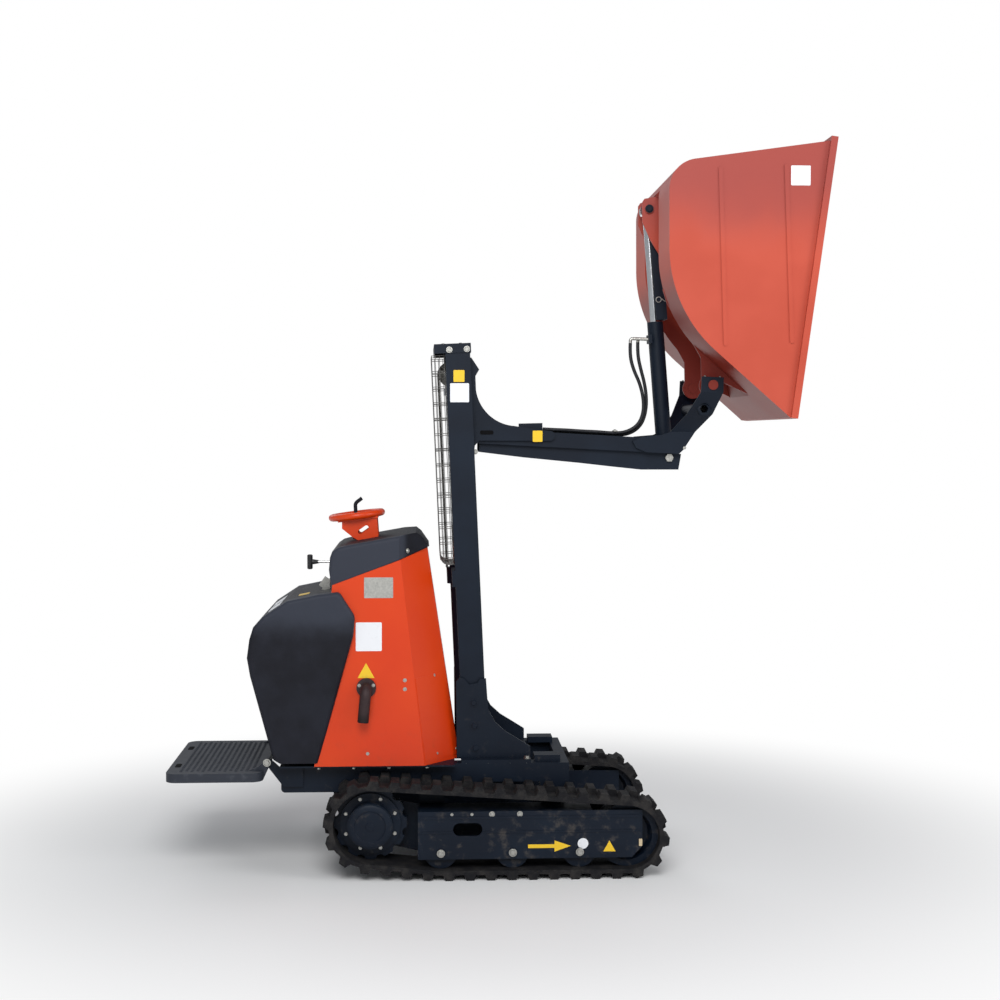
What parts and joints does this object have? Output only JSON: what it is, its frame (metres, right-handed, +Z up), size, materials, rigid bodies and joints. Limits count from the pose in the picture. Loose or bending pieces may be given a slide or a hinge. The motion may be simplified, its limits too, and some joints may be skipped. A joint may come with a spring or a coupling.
{
  "type": "tracked high-lift site dumper",
  "caption": "Compact tracked dumper with a mast-lifted boom, front tipping skip, engine hood and rear standing step.",
  "frame": {"origin": "on the ground under the middle of the whole machine's box, skip raised and tipped", "axes": "+X forward towards the skip, +Y to the left, +Z up"},
  "size_m": [2.375, 0.9, 2.6189],
  "materials": {
    "orange_paint": "satin orange powder coat on pressed and welded sheet",
    "black_paint": "satin blue-black powder coat on welded steel",
    "black_plastic": "fine-grained matt black rotomoulded plastic",
    "track_rubber": "dull black track rubber with light dust",
    "steel_wire": "dull welded wire",
    "chrome_rod": "hard chromed rod",
    "bare_steel": "zinc-plated and oiled steel",
    "engine_iron": "painted cast engine",
    "exhaust_steel": "heat-darkened pipe",
    "hose_rubber": "smooth black hydraulic hose"
  },
  "bodies": {
    "machine": {"chassis": "black_paint", "cross_members": "black_paint", "cross_beams": "black_paint", "deck_plate": "black_paint", "rear_box": "black_paint", "track_right": "track_rubber", "track_left": "track_rubber", "track_frame_right": "black_paint", "track_frame_left": "black_paint", "rollers_right": "black_paint", "rollers_left": "black_paint", "idler_right": "black_paint", "idler_left": "black_paint", "sprocket_right": "black_paint", "sprocket_left": "black_paint", "mast_rails": "black_paint", "mast_base": "black_paint", "mast_cap": "black_paint", "mast_guard": "steel_wire", "lift_tube": "black_paint", "lift_chain_rear": "bare_steel", "engine_hood": "orange_paint", "rear_cover": "black_plastic", "console_cover": "black_plastic", "engine_block": "engine_iron", "exhaust": "exhaust_steel", "hand_ring": "orange_paint", "ring_bracket": "orange_paint", "joystick": "black_plastic", "tee_lever": "black_plastic", "latch": "bare_steel", "platform_bracket": "black_paint"},
    "platform": {"platform": "black_paint"},
    "lift_ram": {"lift_rod": "chrome_rod", "lift_pulley": "bare_steel", "lift_chain_top": "bare_steel"},
    "boom": {"carriage_arms": "black_paint", "carriage_rollers": "bare_steel", "boom_beams": "black_paint", "boom_channel": "black_paint", "knuckle": "black_paint", "transport_tube": "black_paint", "hose_box": "black_paint", "base_pin": "bare_steel", "lift_chain_front": "bare_steel", "hose_1": "hose_rubber", "hose_2": "hose_rubber"},
    "skip": {"skip_shell": "orange_paint", "skip_ribs": "orange_paint", "skip_pins": "orange_paint"},
    "tip_cylinder": {"tip_cylinder_tube": "black_paint", "hose_elbows": "bare_steel"},
    "tip_rod": {"tip_cylinder_rod": "chrome_rod", "eye_pin": "bare_steel"},
    "prop": {"safety_prop": "black_paint"}
  },
  "joints": [
    {"name": "lift", "type": "slide", "parent": "machine", "child": "boom", "axis": [-0.0436, 0, 0.999], "range_m": [-1, 0], "deforming": ["lift_chain_front"]},
    {"name": "lift_ram", "type": "slide", "parent": "machine", "child": "lift_ram", "axis": [-0.0436, 0, 0.999], "range_m": [-0.5, 0], "deforming": ["lift_chain_rear"]},
    {"name": "skip_tip", "type": "hinge", "parent": "boom", "child": "skip", "pos_m": [0.786, 0, 1.755], "axis": [0, 1, 0], "range_deg": [-80, 0]},
    {"name": "tip_cylinder", "type": "hinge", "parent": "boom", "child": "tip_cylinder", "pos_m": [0.65, 0, 1.489], "axis": [0, 1, 0], "range_deg": [-68.2, 0], "deforming": ["hose_1", "hose_2"]},
    {"name": "tip_rod", "type": "slide", "parent": "tip_cylinder", "child": "tip_rod", "axis": [-0.0787, 0, 0.9969], "range_m": [-0.3525, 0]},
    {"name": "prop_swing", "type": "hinge", "parent": "tip_rod", "child": "prop", "pos_m": [0.577, 0, 2.414], "axis": [0, -1, 0], "range_deg": [0, 7]},
    {"name": "platform_fold", "type": "hinge", "parent": "machine", "child": "platform", "pos_m": [-0.829, 0, 0.394], "axis": [0, 1, 0], "range_deg": [0, 75]}
  ],
  "couplings": [
    {"joint": "lift_ram", "follows": "lift", "ratio": 0.5},
    {"joint": "tip_cylinder", "follows": "skip_tip", "ratio": 0.84816},
    {"joint": "tip_rod", "follows": "skip_tip", "m_per_rad": 0.25175}
  ]
}
